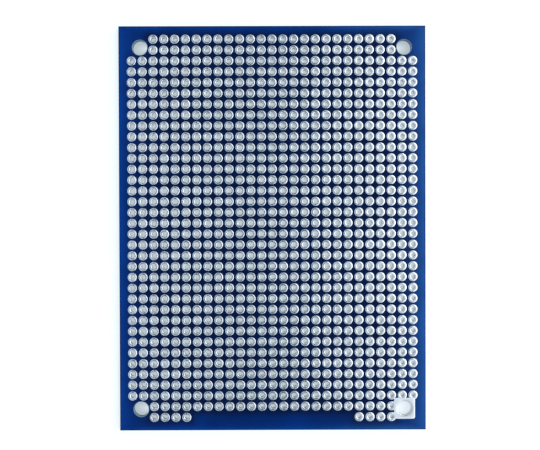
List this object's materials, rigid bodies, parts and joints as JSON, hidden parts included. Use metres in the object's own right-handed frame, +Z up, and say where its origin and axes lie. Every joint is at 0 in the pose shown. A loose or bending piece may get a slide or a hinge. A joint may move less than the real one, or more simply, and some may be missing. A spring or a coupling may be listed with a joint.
{
  "type": "prototype board",
  "caption": "Flat rectangular prototype circuit board with a grid of round tinned lands for soldering parts by hand, corner mounting holes and a square ground land at one corner.",
  "frame": {"origin": "centre of the underside of the laminate, the face that the board lies on", "axes": "+X along the width, +Y along the length away from the edge with the ground land, +Z up through the tinned face"},
  "size_m": [0.072, 0.095, 0.0017],
  "materials": {
    "solder_mask": "glossy deep blue solder mask over glass-epoxy laminate",
    "tinned_solder": "bright hot-air levelled solder, slightly domed and uneven"
  },
  "bodies": {
    "root": {"board": "solder_mask", "ground_land": "tinned_solder", "pads_row_01": "tinned_solder", "pads_row_02": "tinned_solder", "pads_row_03": "tinned_solder", "pads_row_04": "tinned_solder", "pads_row_05": "tinned_solder", "pads_row_06": "tinned_solder", "pads_row_07": "tinned_solder", "pads_row_08": "tinned_solder", "pads_row_09": "tinned_solder", "pads_row_10": "tinned_solder", "pads_row_11": "tinned_solder", "pads_row_12": "tinned_solder", "pads_row_13": "tinned_solder", "pads_row_14": "tinned_solder", "pads_row_15": "tinned_solder", "pads_row_16": "tinned_solder", "pads_row_17": "tinned_solder", "pads_row_18": "tinned_solder", "pads_row_19": "tinned_solder", "pads_row_20": "tinned_solder", "pads_row_21": "tinned_solder", "pads_row_22": "tinned_solder", "pads_row_23": "tinned_solder", "pads_row_24": "tinned_solder", "pads_row_25": "tinned_solder", "pads_row_26": "tinned_solder", "pads_row_27": "tinned_solder", "pads_row_28": "tinned_solder", "pads_row_29": "tinned_solder", "pads_row_30": "tinned_solder", "pads_row_31": "tinned_solder", "pads_row_32": "tinned_solder", "pads_row_33": "tinned_solder", "pads_row_34": "tinned_solder", "pads_row_35": "tinned_solder", "pads_row_36": "tinned_solder"}
  },
  "joints": []
}
